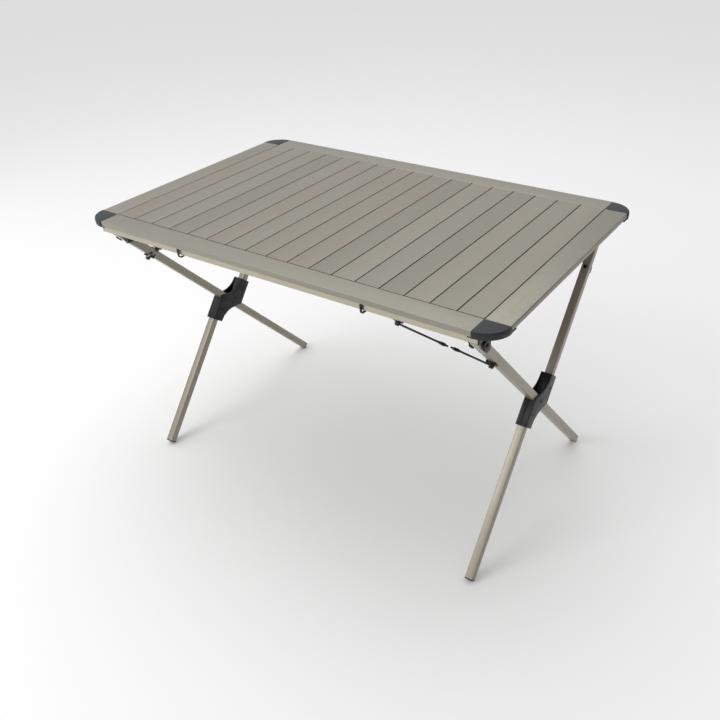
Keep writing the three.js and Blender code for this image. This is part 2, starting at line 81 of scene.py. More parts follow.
studio = {
    "cameraPlace": (1.0794, -1.4436, 1.4385),
    "cameraTurn": (55.95, 1.56, 33.27),
    "lens": 39.44,
    "shift": (-0.049, 0.0237),
    "worldStrength": (0.45, 1.15),
    "worldShade": 0.2,
    "floorSize": 40,
    "floorColor": (0.93, 0.93, 0.93, 1),
}
lamps = {
    "key": {"place": (-1.6, -3.0, 2.9), "size": 2.2, "power": 44},
    "overhead": {"place": (-0.6, 0.9, 3.6), "size": 3.0, "power": 24},
    "fill": {"place": (-2.8, -0.6, 1.2), "size": 2.0, "power": 4},
}


def setCamera():
    data = bpy.data.cameras.new("camera")
    data.lens = studio["lens"]
    data.sensor_width = 36
    data.shift_x, data.shift_y = studio["shift"]
    data.clip_end = 100
    camera = bpy.data.objects.new("camera", data)
    camera.location = studio["cameraPlace"]
    camera.rotation_euler = [math.radians(a) for a in studio["cameraTurn"]]
    bpy.context.scene.collection.objects.link(camera)
    bpy.context.scene.camera = camera


def setLamps():
    for name, lamp in lamps.items():
        data = bpy.data.lights.new(name, "AREA")
        data.size = lamp["size"]
        data.energy = lamp["power"]
        light = bpy.data.objects.new(name, data)
        light.location = lamp["place"]
        aim = Vector((0, 0, 0.5)) - light.location
        light.rotation_euler = aim.to_track_quat("-Z", "Y").to_euler()
        bpy.context.scene.collection.objects.link(light)


def setWorld():
    world = bpy.data.worlds.new("studio")
    world.use_nodes = True
    tree = world.node_tree
    back = tree.nodes["Background"]
    back.inputs["Color"].default_value = (1, 1, 1, 1)
    place = tree.nodes.new("ShaderNodeTexCoord")
    split = tree.nodes.new("ShaderNodeSeparateXYZ")
    climb = tree.nodes.new("ShaderNodeMapRange")  # a tent of light, brighter overhead
    climb.inputs["From Max"].default_value = 0.9
    climb.inputs["To Min"].default_value, climb.inputs["To Max"].default_value = studio["worldStrength"]
    tree.links.new(place.outputs["Generated"], split.inputs[0])
    tree.links.new(split.outputs["Z"], climb.inputs["Value"])
    shade = tree.nodes.new("ShaderNodeMapRange")  # and darker on the right
    shade.inputs["From Max"].default_value = 0.8
    shade.inputs["To Min"].default_value, shade.inputs["To Max"].default_value = 1, studio["worldShade"]
    tree.links.new(split.outputs["X"], shade.inputs["Value"])
    both = tree.nodes.new("ShaderNodeMath")
    both.operation = "MULTIPLY"
    tree.links.new(climb.outputs[0], both.inputs[0])
    tree.links.new(shade.outputs[0], both.inputs[1])
    tree.links.new(both.outputs[0], back.inputs["Strength"])
    bpy.context.scene.world = world


def setFloor():
    bm = bmesh.new()
    bmesh.ops.create_grid(bm, x_segments=1, y_segments=1, size=studio["floorSize"] / 2)
    mesh = bpy.data.meshes.new("floor")
    bm.to_mesh(mesh)
    bm.free()
    floor = bpy.data.objects.new("floor", mesh)
    material = bpy.data.materials.new("paleFloor")
    material.use_nodes = True
    shader = material.node_tree.nodes["Principled BSDF"]
    shader.inputs["Base Color"].default_value = studio["floorColor"]
    shader.inputs["Roughness"].default_value = 0.9
    mesh.materials.append(material)
    bpy.context.scene.collection.objects.link(floor)


setCamera()
setLamps()
setWorld()
setFloor()
bpy.context.scene.view_settings.view_transform = "Standard"
print("studio set")


# shared shader effects

def tint(code):
    parts = [int(code[i : i + 2], 16) / 255 for i in (1, 3, 5)]
    return tuple(p / 12.92 if p < 0.04 else ((p + 0.055) / 1.055) ** 2.4 for p in parts) + (1,)


def shaderGroup(name, inputs, outputs):
    group = bpy.data.node_groups.new(name, "ShaderNodeTree")
    for label, (kind, value) in inputs.items():
        socket = group.interface.new_socket(label, in_out="INPUT", socket_type="NodeSocket" + kind)
        if value is not None:
            socket.default_value = value
    for label, kind in outputs.items():
        group.interface.new_socket(label, in_out="OUTPUT", socket_type="NodeSocket" + kind)
    return group, group.nodes.new("NodeGroupInput"), group.nodes.new("NodeGroupOutput")


def put(tree, kind, links=None, **values):
    node = tree.nodes.new("ShaderNode" + kind)
    for key, value in values.items():
        setattr(node, key, value)
    for socket, source in (links or {}).items():
        target = node.inputs[socket]
        if isinstance(source, bpy.types.NodeSocket):
            tree.links.new(source, target)
        else:
            target.default_value = source
    return node


def drawnGrainGroup():  # fine lines left by the extrusion die, long in Y
    group, inputs, outputs = shaderGroup(
        "drawnGrain",
        {"Vector": ("Vector", None), "Across": ("Float", 900.0), "Along": ("Float", 6.0)},
        {"Lines": "Float"},
    )
    stretch = put(group, "CombineXYZ", {"X": inputs.outputs["Across"], "Y": inputs.outputs["Along"],
                                        "Z": inputs.outputs["Across"]})
    scaled = put(group, "VectorMath", {0: inputs.outputs["Vector"], 1: stretch.outputs[0]},
                 operation="MULTIPLY")
    fine = put(group, "TexNoise",
               {"Vector": scaled.outputs[0], "Scale": 1.0, "Detail": 4.0, "Roughness": 0.65})
    wide = put(group, "TexNoise", {"Vector": scaled.outputs[0], "Scale": 0.16, "Detail": 2.0})
    both = put(group, "Math", {0: fine.outputs["Fac"], 1: wide.outputs["Fac"]}, operation="ADD")
    halved = put(group, "Math", {0: both.outputs[0], 1: 0.5}, operation="MULTIPLY")
    group.links.new(halved.outputs[0], outputs.inputs["Lines"])
    return group


def edgeWearGroup():  # arrises rubbed bright or pale, in patches
    group, inputs, outputs = shaderGroup(
        "edgeWear",
        {"Vector": ("Vector", None), "Patches": ("Float", 60.0), "Reach": ("Float", 0.0009)},
        {"Wear": "Float"},
    )
    face = put(group, "NewGeometry")
    eased = put(group, "Bevel", {"Radius": inputs.outputs["Reach"]}, samples=4)
    same = put(group, "VectorMath", {0: eased.outputs[0], 1: face.outputs["True Normal"]},
               operation="DOT_PRODUCT")
    edge = put(group, "MapRange", {"Value": same.outputs["Value"], "From Min": 0.995, "From Max": 0.8})
    patches = put(group, "TexNoise", {"Vector": inputs.outputs["Vector"], "Scale": inputs.outputs["Patches"],
                                      "Detail": 5.0, "Roughness": 0.7})
    broken = put(group, "MapRange", {"Value": patches.outputs["Fac"], "From Min": 0.36, "From Max": 0.62})
    worn = put(group, "Math", {0: edge.outputs[0], 1: broken.outputs[0]}, operation="MULTIPLY")
    group.links.new(worn.outputs[0], outputs.inputs["Wear"])
    return group


def handlingGroup():  # faint cloudy marks of hands and cloths
    group, inputs, outputs = shaderGroup(
        "handling", {"Vector": ("Vector", None), "Size": ("Float", 7.0)}, {"Marks": "Float"}
    )
    cloud = put(group, "TexNoise", {"Vector": inputs.outputs["Vector"], "Scale": inputs.outputs["Size"],
                                    "Detail": 6.0, "Roughness": 0.62, "Distortion": 0.6})
    marks = put(group, "MapRange", {"Value": cloud.outputs["Fac"], "From Min": 0.35, "From Max": 0.7})
    group.links.new(marks.outputs[0], outputs.inputs["Marks"])
    return group


def mouldTextureGroup():  # spark-eroded texture of a moulding tool
    group, inputs, outputs = shaderGroup(
        "mouldTexture", {"Vector": ("Vector", None), "Fineness": ("Float", 1400.0)}, {"Height": "Float"}
    )
    pits = put(group, "TexVoronoi", {"Vector": inputs.outputs["Vector"], "Scale": inputs.outputs["Fineness"]})
    grain = put(group, "TexNoise", {"Vector": inputs.outputs["Vector"], "Scale": inputs.outputs["Fineness"],
                                    "Detail": 3.0})
    height = put(group, "Math", {0: pits.outputs["Distance"], 1: grain.outputs["Fac"]}, operation="MULTIPLY")
    group.links.new(height.outputs[0], outputs.inputs["Height"])
    return group


drawnGrain = drawnGrainGroup()
edgeWear = edgeWearGroup()
handling = handlingGroup()
mouldTexture = mouldTextureGroup()


def useGroup(tree, group, links):
    node = put(tree, "Group")
    node.node_tree = group
    for socket, source in links.items():
        if isinstance(source, bpy.types.NodeSocket):
            tree.links.new(source, node.inputs[socket])
        else:
            node.inputs[socket].default_value = source
    return node


def mixColors(tree, factor, first, second, blend="MIX"):
    node = put(tree, "Mix", data_type="RGBA", blend_type=blend, clamp_factor=True)
    for socket, source in ((node.inputs[0], factor), (node.inputs[6], first), (node.inputs[7], second)):
        if isinstance(source, bpy.types.NodeSocket):
            tree.links.new(source, socket)
        else:
            socket.default_value = source
    return node.outputs[2]


def spread(tree, source, low, high):
    return put(tree, "MapRange", {"Value": source, "To Min": low, "To Max": high}).outputs[0]


def newMaterial(name):
    material = bpy.data.materials.new(name)
    material.use_nodes = True
    tree = material.node_tree
    return material, tree, tree.nodes["Principled BSDF"], put(tree, "TexCoord").outputs["Object"]


# finishes

anodised = {
    "anodisedSlat": {"tones": ["#96928a", "#8f8c82", "#9a958a", "#979086", "#908d83", "#969288"],
                     "turn": (0, 0, 0), "metal": 0.5, "gloss": (0.36, 0.5), "lines": 0.1},
    "anodisedEndSlat": {"tones": ["#979389"], "turn": (0, 0, 0), "metal": 0.5,
                        "gloss": (0.36, 0.5), "lines": 0.1},
    "anodisedRail": {"tones": ["#9a978d"], "turn": (0, 0, 90), "metal": 0.5,
                     "gloss": (0.34, 0.48), "lines": 0.1},
    # the long tubes get a lighter tone than the rail: partly their own shinier metal, partly a painted
    # highlight for the light their front face catches
    "anodisedTubeWithHighlight": {"tones": ["#bdb7a4"], "turn": (0, 0, 90), "metal": 0.8,
                     "gloss": (0.25, 0.4), "lines": 0.16},
    "anodisedLegA": {"tones": ["#9f998b"], "turn": (46.4, 0, 0), "metal": 0.45,
                     "gloss": (0.26, 0.42), "lines": 0.16},
    "anodisedLegB": {"tones": ["#9f998b"], "turn": (-50.5, 0, 0), "metal": 0.45,
                     "gloss": (0.26, 0.42), "lines": 0.16},
}
slatRow = {"pitch": 59.4 * mm, "start": -504.9 * mm, "count": 17}


def slatTones(tree, place, tones):  # one tone for each slat of the row, by where it stands
    x = put(tree, "SeparateXYZ", {0: place}).outputs["X"]
    moved = put(tree, "Math", {0: x, 1: slatRow["start"]}, operation="SUBTRACT").outputs[0]
    count = put(tree, "Math", {0: moved, 1: slatRow["pitch"]}, operation="DIVIDE").outputs[0]
    number = put(tree, "Math", {0: count}, operation="FLOOR").outputs[0]
    chance = put(tree, "TexWhiteNoise", noise_dimensions="1D")
    tree.links.new(number, chance.inputs["W"])
    ramp = put(tree, "ValToRGB", {"Fac": chance.outputs["Value"]})
    ramp.color_ramp.interpolation = "CONSTANT"
    stops = ramp.color_ramp.elements
    for i, code in enumerate(tones):
        stop = stops[i] if i < 2 else stops.new(i / len(tones))
        stop.position = i / len(tones)
        stop.color = tint(code)
    return ramp.outputs["Color"]


def makeAnodised(name, look):
    material, tree, shader, place = newMaterial(name)
    rotation = [math.radians(a) for a in look["turn"]]
    along = put(tree, "Mapping", {"Vector": place, "Rotation": rotation}).outputs[0]
    lines = useGroup(tree, drawnGrain, {"Vector": along, "Across": 700.0, "Along": 5.0}).outputs["Lines"]
    marks = useGroup(tree, handling, {"Vector": place, "Size": 6.0}).outputs["Marks"]
    wear = useGroup(tree, edgeWear, {"Vector": place, "Patches": 90.0}).outputs["Wear"]
    tones = look["tones"]
    base = slatTones(tree, place, tones) if len(tones) > 1 else tint(tones[0])
    darker = mixColors(tree, spread(tree, lines, 0.0, 0.34), base, (0.62, 0.6, 0.56, 1), "MULTIPLY")
    cloudy = mixColors(tree, spread(tree, marks, 0.0, 0.14), darker, (0.78, 0.76, 0.72, 1), "MULTIPLY")
    worn = mixColors(tree, spread(tree, wear, 0.0, 0.55), cloudy, (0.72, 0.71, 0.67, 1))
    tree.links.new(worn, shader.inputs["Base Color"])
    shader.inputs["Metallic"].default_value = look["metal"]
    low, high = look["gloss"]
    rough = put(tree, "Math", {0: spread(tree, lines, low, high), 1: spread(tree, marks, -0.03, 0.05)},
                operation="ADD")
    tree.links.new(rough.outputs[0], shader.inputs["Roughness"])
    bump = put(tree, "Bump", {"Height": lines, "Strength": look["lines"], "Distance": 0.0003})
    tree.links.new(bump.outputs[0], shader.inputs["Normal"])
    return material


moulded = {
    "cornerPlastic": {"color": "#26282a", "pale": "#383b3e", "gloss": (0.34, 0.46),
                      "fineness": 900.0, "depth": 0.16},
    "blackPlastic": {"color": "#0d0e10", "pale": "#1f2123", "gloss": (0.32, 0.46),
                     "fineness": 1100.0, "depth": 0.14},
    "footPlastic": {"color": "#1e1d1c", "pale": "#35332f", "gloss": (0.4, 0.55),
                    "fineness": 1300.0, "depth": 0.2},
}


def makeMoulded(name, look):
    material, tree, shader, place = newMaterial(name)
    marks = useGroup(tree, handling, {"Vector": place, "Size": 18.0}).outputs["Marks"]
    wear = useGroup(tree, edgeWear, {"Vector": place, "Patches": 140.0}).outputs["Wear"]
    height = useGroup(tree, mouldTexture, {"Vector": place, "Fineness": look["fineness"]}).outputs["Height"]
    speckled = mixColors(tree, spread(tree, height, 0.0, 0.3), tint(look["color"]), tint(look["pale"]))
    cloudy = mixColors(tree, spread(tree, marks, 0.0, 0.18), speckled, tint(look["pale"]))
    worn = mixColors(tree, spread(tree, wear, 0.0, 0.5), cloudy, tint(look["pale"]))
    tree.links.new(worn, shader.inputs["Base Color"])
    shader.inputs["Specular IOR Level"].default_value = 0.3
    low, high = look["gloss"]
    rough = put(tree, "Math", {0: spread(tree, height, low, high), 1: spread(tree, marks, 0.0, 0.08)},
                operation="ADD")
    tree.links.new(rough.outputs[0], shader.inputs["Roughness"])
    bump = put(tree, "Bump", {"Height": height, "Strength": look["depth"], "Distance": 0.0004})
    tree.links.new(bump.outputs[0], shader.inputs["Normal"])
    return material


plainMetals = {
    "zincSteel": {"color": "#b9babb", "stain": "#8d8e90", "metal": 1.0,
                  "gloss": (0.22, 0.42), "across": 1500.0},
    "blackedRod": {"color": "#3a3b3d", "stain": "#232426", "metal": 0.7,
                   "gloss": (0.3, 0.48), "across": 1300.0},
    "silverPlate": {"color": "#c9c9c6", "stain": "#a3a29d", "metal": 0.9,
                    "gloss": (0.26, 0.4), "across": 900.0},
}


def makePlainMetal(name, look):
    material, tree, shader, place = newMaterial(name)
    grain = {"Vector": place, "Across": look["across"], "Along": 120.0}
    lines = useGroup(tree, drawnGrain, grain).outputs["Lines"]
    marks = useGroup(tree, handling, {"Vector": place, "Size": 90.0}).outputs["Marks"]
    wear = useGroup(tree, edgeWear, {"Vector": place, "Patches": 240.0}).outputs["Wear"]
    stained = mixColors(tree, spread(tree, marks, 0.0, 0.7), tint(look["color"]), tint(look["stain"]))
    lined = mixColors(tree, spread(tree, lines, 0.0, 0.3), stained, tint(look["stain"]))
    worn = mixColors(tree, spread(tree, wear, 0.0, 0.6), lined, (0.75, 0.75, 0.74, 1))
    tree.links.new(worn, shader.inputs["Base Color"])
    shader.inputs["Metallic"].default_value = look["metal"]
    tree.links.new(spread(tree, lines, *look["gloss"]), shader.inputs["Roughness"])
    bump = put(tree, "Bump", {"Height": lines, "Strength": 0.12, "Distance": 0.0003})
    tree.links.new(bump.outputs[0], shader.inputs["Normal"])
    return material


materials = {name: makeAnodised(name, look) for name, look in anodised.items()}
materials.update({name: makeMoulded(name, look) for name, look in moulded.items()})
materials.update({name: makePlainMetal(name, look) for name, look in plainMetals.items()})
print("finishes mixed:", len(materials))


# making and joining pieces

def bodyOf(node):
    return body_of(nodes[node])[0]


def makePiece(name, bm, finish, body, replaced=(), smooth=32):
    mesh = bpy.data.meshes.new(name)
    bm.to_mesh(mesh)
    bm.free()
    mesh.polygons.foreach_set("use_smooth", [True] * len(mesh.polygons))
    mesh.set_sharp_from_angle(angle=math.radians(smooth))
    mesh.materials.append(materials[finish])
    piece = bpy.data.objects.new(name, mesh)
    bpy.context.scene.collection.objects.link(piece)
    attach(piece, body)
    if replaced:
        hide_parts(*replaced)
    return piece


def bevelEdges(bm, edges, width, segments=3):
    bmesh.ops.bevel(bm, geom=edges, affect="EDGES", offset=width, segments=segments, profile=0.5,
                    clamp_overlap=True, material=-1)


def sharpEdges(bm, angle=28):
    return [e for e in bm.edges if len(e.link_faces) == 2 and e.calc_face_angle(0) > math.radians(angle)]


def roundedCopy(node, width, segments=2, angle=28):  # the CAD solid with its arrises eased
    bm = bmesh.new()
    bm.from_mesh(nodes[node].data)
    bmesh.ops.remove_doubles(bm, verts=bm.verts, dist=2e-6)
    bmesh.ops.dissolve_limit(bm, angle_limit=math.radians(0.8), verts=bm.verts, edges=bm.edges)
    bevelEdges(bm, sharpEdges(bm, angle), width, segments)
    return bm


def block(low, high, width, segments=3):  # a box between two corners, with round arrises
    bm = bmesh.new()
    low, high = Vector(low), Vector(high)
    bmesh.ops.create_cube(bm, size=1)
    bmesh.ops.scale(bm, verts=bm.verts, vec=high - low)
    bmesh.ops.translate(bm, verts=bm.verts, vec=(low + high) / 2)
    bevelEdges(bm, bm.edges[:], width, segments)
    return bm


def turnProfile(bm, profile, steps=32):  # a profile of (radius, height) spun about Z
    verts = [bm.verts.new((radius, 0, height)) for radius, height in profile]
    edges = [bm.edges.new(pair) for pair in zip(verts, verts[1:])]
    bmesh.ops.spin(bm, geom=verts + edges, cent=(0, 0, 0), axis=(0, 0, 1), angle=math.tau, steps=steps,
                   use_merge=True)
    bmesh.ops.remove_doubles(bm, verts=bm.verts, dist=1e-6)
    bmesh.ops.recalc_face_normals(bm, faces=bm.faces)


def turned(profile, steps=32):
    bm = bmesh.new()
    turnProfile(bm, profile, steps)
    return bm


def aimed(place, axis):  # a frame whose Z looks along an axis
    return Matrix.Translation(place) @ Vector(axis).to_track_quat("Z", "Y").to_matrix().to_4x4()


def placed(bm, matrix):
    bmesh.ops.transform(bm, matrix=matrix, verts=bm.verts)
    if matrix.determinant() < 0:
        bmesh.ops.reverse_faces(bm, faces=bm.faces)
    return bm


def merged(*parts):
    whole = bmesh.new()
    for part in parts:
        mesh = bpy.data.meshes.new("part")
        part.to_mesh(mesh)
        part.free()
        whole.from_mesh(mesh)
        bpy.data.meshes.remove(mesh)
    return whole


def localBox(node, matrix):  # a node's lowest and highest corners in a turned frame
    back = matrix.inverted()
    points = [back @ v.co for v in nodes[node].data.vertices]
    low = Vector([min(p[i] for p in points) for i in range(3)])
    high = Vector([max(p[i] for p in points) for i in range(3)])
    return low, high


# slatted top

# the two depths before endGap place the dark strips of painted shade down in the slat gaps
slatLook = {"gap": 2.6 * mm, "depth": 9.5 * mm, "wall": 1.5 * mm, "arris": 0.7 * mm,
            "shadeStripDown": 2.2 * mm, "shadeStripDeep": 4 * mm, "endGap": 1.2 * mm}


def makeSlats():
    low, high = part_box("slat_panel")
    depth = slatLook["depth"]
    for i in range(slatRow["count"]):
        x0 = slatRow["start"] + i * slatRow["pitch"] + slatLook["gap"] / 2
        x1 = x0 + slatRow["pitch"] - slatLook["gap"]
        bm = bmesh.new()
        size = Vector((x1 - x0, high.y - low.y - slatLook["endGap"] * 2, depth))
        bmesh.ops.create_cube(bm, size=1)
        bmesh.ops.scale(bm, verts=bm.verts, vec=size)
        bmesh.ops.translate(bm, verts=bm.verts, vec=((x0 + x1) / 2, 0, high.z - depth / 2))
        arrises = [e for e in bm.edges if all(v.co.z > high.z - 1e-5 for v in e.verts)
                   and abs(e.verts[0].co.x - e.verts[1].co.x) < 1e-6]
        bevelEdges(bm, arrises, slatLook["arris"], 3)
        open_ = [f for f in bm.faces if f.normal.z < -0.9 or abs(f.normal.y) > 0.9]
        bmesh.ops.delete(bm, geom=open_, context="FACES")
        bmesh.ops.solidify(bm, geom=bm.faces[:], thickness=slatLook["wall"])
        bmesh.ops.recalc_face_normals(bm, faces=bm.faces)
        makePiece(f"slat_{i + 1:02d}", bm, "anodisedSlat", "table_top", ["slat_panel"])


def makeGapShadeStrips():  # dark strips set down in the gaps between the slats and along their ends: painted shade, a dark sheet standing in for the shadow inside the gaps
    low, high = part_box("slat_panel")
    top = high.z - slatLook["shadeStripDown"]
    foot = top - slatLook["shadeStripDeep"]
    reach = slatLook["gap"] / 2 - 0.15 * mm
    strips = []
    for i in range(slatRow["count"] + 1):
        x = slatRow["start"] + i * slatRow["pitch"]
        strips.append(block((x - reach, low.y, foot), (x + reach, high.y, top), 0.2 * mm, 2))
    for y, way in ((low.y, 1), (high.y, -1)):
        inner = y + way * (slatLook["endGap"] - 0.1 * mm)
        strips.append(block((low.x, min(y, inner), foot), (high.x, max(y, inner), top), 0.2 * mm, 2))
    # the strips take the black plastic finish, so the gaps read dark as painted shade
    makePiece("slat_gap_shade_strips", merged(*strips), "blackPlastic", "table_top", ["slat_panel"])


battenLook = {"spread": 200 * mm, "width": 24 * mm, "thick": 1.4 * mm, "rivet": 2.6 * mm}


def makeBattens():
    low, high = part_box("slat_panel")
    for name, way in (("front", -1), ("middle", 0), ("back", 1)):
        y = way * battenLook["spread"]
        strip = block((low.x, y - battenLook["width"] / 2, low.z + 0.6 * mm),
                      (high.x, y + battenLook["width"] / 2, low.z + battenLook["thick"]), 0.3 * mm, 2)
        heads = []
        for i in range(slatRow["count"]):
            x = slatRow["start"] + (i + 0.5) * slatRow["pitch"]
            for dx in (-27 * mm, 27 * mm):
                r = battenLook["rivet"]
                head = turned([
                    (0, 0.6 * mm), (r * 0.6, 0.5 * mm), (r, 0.1 * mm), (r, -0.4 * mm), (0, -0.4 * mm),
                ], 12)
                heads.append(placed(head, aimed((x + dx, y, low.z + 0.6 * mm), (0, 0, -1))))
        makePiece(f"slat_batten_{name}", merged(strip, *heads), "blackedRod", "table_top",
                  ["slat_panel"])


makeSlats()
makeGapShadeStrips()
makeBattens()
for side in sides:
    node = f"end_slat_{side}"
    makePiece(f"{node}_skin", roundedCopy(node, 0.35 * mm), "anodisedEndSlat", "table_top", [node])
for end in ends:
    node = f"rail_{end}"
    makePiece(f"{node}_skin", roundedCopy(node, 0.4 * mm), "anodisedRail", "table_top", [node])
    for side in sides:
        node = f"corner_{end}_{side}"
        makePiece(f"{node}_skin", roundedCopy(node, 0.4 * mm), "cornerPlastic", "table_top", [node])
print("top laid")


# square tubes, long and on the legs

tubeLook = {"round": 2.0 * mm, "wall": 1.5 * mm, "arcSteps": 4}


def squareTube(low, high):  # along Z
    bm = bmesh.new()
    bmesh.ops.create_cube(bm, size=1)
    bmesh.ops.scale(bm, verts=bm.verts, vec=high - low)
    bmesh.ops.translate(bm, verts=bm.verts, vec=(low + high) / 2)
    corners = [e for e in bm.edges if abs(e.verts[0].co.z - e.verts[1].co.z) > 1e-4]
    bevelEdges(bm, corners, tubeLook["round"], tubeLook["arcSteps"])
    bmesh.ops.delete(bm, geom=[f for f in bm.faces if abs(f.normal.z) > 0.9], context="FACES")
    bmesh.ops.solidify(bm, geom=bm.faces[:], thickness=tubeLook["wall"])
    bmesh.ops.recalc_face_normals(bm, faces=bm.faces)
    return bm


def makeTube(node, matrix, finish):
    low, high = localBox(node, matrix)
    makePiece(f"{node}_skin", placed(squareTube(low, high), matrix), finish, bodyOf(node), [node])


capLook = {"plate": 2.4 * mm, "plug": 12 * mm, "round": 0.7 * mm}


def makeTubeCap(end, side):  # black plug in the open end of a long tube
    node = f"{end}_tube"
    low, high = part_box(node)
    middle = (low + high) / 2
    at = Vector((high.x * sides[side], middle.y, middle.z))
    half = (high.z - low.z) / 2
    inner = half - tubeLook["wall"] - 0.3 * mm
    plate = block((-half, -half, 0.3 * mm), (half, half, capLook["plate"]), capLook["round"])
    plug = block((-inner, -inner, -capLook["plug"]), (inner, inner, 0.6 * mm), 0.5 * mm, 2)
    cap = placed(merged(plate, plug), aimed(at, (sides[side], 0, 0)))
    makePiece(f"tube_cap_{end}_{side}", cap, "blackPlastic", bodyOf(node))


along = Vector((1, 0, 0)).to_track_quat("Z", "Y").to_matrix().to_4x4()
for end in ends:
    makeTube(f"{end}_tube", along, "anodisedTubeWithHighlight")
    for side in sides:
        makeTubeCap(end, side)

splitOffset = 31.6 * mm


def legFrames(side):
    hub = Vector(joints[f"hub_turn_{side}"]["pos_m"])
    pin = Vector(joints["squeeze" if side == "right" else "squeeze_left"]["pos_m"])
    reach = (pin - hub).length
    lean = math.atan2(pin.z - hub.z, abs(pin.y))
    tiltA = math.pi / 2 - lean
    tiltB = lean + math.asin(splitOffset / reach) - math.pi / 2
    frameA = Matrix.Translation(hub) @ Matrix.Rotation(tiltA, 4, "X")
    frameB = Matrix.Translation(hub) @ Matrix.Rotation(tiltB, 4, "X")
    return {"a": frameA, "b": frameB, "reach": reach}


legs = {side: legFrames(side) for side in sides}
for side in sides:
    makeTube(f"leg_a_{side}", legs[side]["a"], "anodisedLegA")
    makeTube(f"leg_b_upper_{side}", legs[side]["b"], "anodisedLegB")
    makeTube(f"leg_b_lower_{side}", legs[side]["b"], "anodisedLegB")
print("tubes drawn")


# moulded joints, feet and clamps

mouldings = {
    "foot_a": ("footPlastic", 0.8), "foot_b": ("footPlastic", 0.8),
    "hub_outer": ("blackPlastic", 1.0), "hub_inner": ("blackPlastic", 1.0),
}
for stem, (finish, width) in mouldings.items():
    for side in sides:
        node = f"{stem}_{side}"
        makePiece(f"{node}_skin", roundedCopy(node, width * mm, 3), finish, bodyOf(node), [node])
for stem, width in {"fold_bracket": 0.7, "knuckle": 0.6, "brace_clamp": 0.5, "brace_clip": 0.5}.items():
    for end in ends:
        for side in sides:
            node = f"{stem}_{end}_{side}"
            eased = roundedCopy(node, width * mm)
            makePiece(f"{node}_skin", eased, "blackPlastic", bodyOf(node), [node])
print("mouldings eased")


# pins, rivets and screws

headLook = {"legPin": 5.0 * mm, "foldPin": 4.0 * mm, "pivot": 5.2 * mm, "rivet": 3.6 * mm}


def domedHead(radius, height):  # with a round recess in the middle, as on a hollow rivet
    return turned([
        (0, height * 0.45), (radius * 0.42, height * 0.45), (radius * 0.5, height * 0.92),
        (radius * 0.62, height),
        (radius * 0.86, height * 0.8), (radius, height * 0.4), (radius, 0), (0, 0),
    ])


def makeLegPin(end, side):
    node = f"leg_pin_{end}_{side}"
    low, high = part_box(node)
    way = sides[side]
    middle = (low + high) / 2
    outer, inner = (high.x, low.x) if way > 0 else (low.x, high.x)
    head = placed(domedHead(headLook["legPin"], 2 * mm),
                  aimed((outer - way * 2 * mm, middle.y, middle.z), (way, 0, 0)))
    length = abs(outer - inner) - 1.5 * mm
    shank = placed(turned([(0, length), (2.3 * mm, length), (2.3 * mm, 0), (0, 0)], 20),
                   aimed((inner, middle.y, middle.z), (way, 0, 0)))
    makePiece(f"{node}_skin", merged(head, shank), "blackedRod", bodyOf(node), [node])


def makeFoldPin(end, side):
    node = f"fold_pin_{end}_{side}"
    low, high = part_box(node)
    middle = (low + high) / 2
    way = -ends[end]
    headAt = high.y if way > 0 else low.y
    length = high.y - low.y
    pin = turned([
        (0, 0), (headLook["foldPin"] * 0.7, 0), (headLook["foldPin"], -0.5 * mm),
        (headLook["foldPin"], -1.2 * mm),
        (2.1 * mm, -1.2 * mm), (2.1 * mm, -length), (0, -length),
    ])
    placed(pin, aimed((middle.x, headAt, middle.z), (0, way, 0)))
    makePiece(f"{node}_skin", pin, "zincSteel", bodyOf(node), [node])


def makeHubPivot(side):
    node = f"hub_pivot_{side}"
    low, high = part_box(node)
    middle = (low + high) / 2
    heads = [placed(domedHead(headLook["pivot"], 1.2 * mm),
                    aimed((x - way * 1.2 * mm, middle.y, middle.z), (way, 0, 0)))
             for x, way in ((high.x, 1), (low.x, -1))]
    length = high.x - low.x - 2 * mm
    shank = placed(turned([(0, length), (2.9 * mm, length), (2.9 * mm, 0), (0, 0)]),
                   aimed((low.x + 1 * mm, middle.y, middle.z), (1, 0, 0)))
    makePiece(f"{node}_skin", merged(*heads, shank), "blackedRod", bodyOf(node), [node])


hubRivets = {"along": 38 * mm, "face": 14.0 * mm, "stand": 1.1 * mm}


def makeHubRivets(side):
    matrix = legs[side]["b"]
    for word, way in (("upper", 1), ("lower", -1)):
        for face in (1, -1):
            offset = (face * hubRivets["face"], way * splitOffset, way * hubRivets["along"])
            seat = matrix @ Matrix.Translation(offset)
            head = placed(domedHead(headLook["rivet"], hubRivets["stand"]),
                          seat @ aimed((0, 0, 0), (face, 0, 0)))
            where = "outer" if face == sides[side] else "inner"
            makePiece(f"hub_rivet_{word}_{where}_{side}", head, "blackPlastic", f"leg_b_{side}")


for end in ends:
    for side in sides:
        makeLegPin(end, side)
        makeFoldPin(end, side)
for side in sides:
    makeHubPivot(side)
    makeHubRivets(side)
print("pins set")


# braces

braceLook = {"rod": 2.1 * mm, "eye": 6.0 * mm, "eyeThick": 5.2 * mm, "bore": 2.8 * mm, "beside": -2.4 * mm,
             "knee": 3.1 * mm, "kneeSleeve": 12 * mm, "kneeTip": 6 * mm}


def eyeRing(matrix):  # a thick washer about the Y of its frame
    r, b, h = braceLook["eye"], braceLook["bore"], braceLook["eyeThick"] / 2
    ease = 0.7 * mm
    ring = [(b, -h), (r - ease, -h), (r, ease - h), (r, h - ease), (r - ease, h), (b, h), (b, -h)]
    return placed(turned(ring, 40), matrix @ aimed((0, 0, 0), (0, 1, 0)))


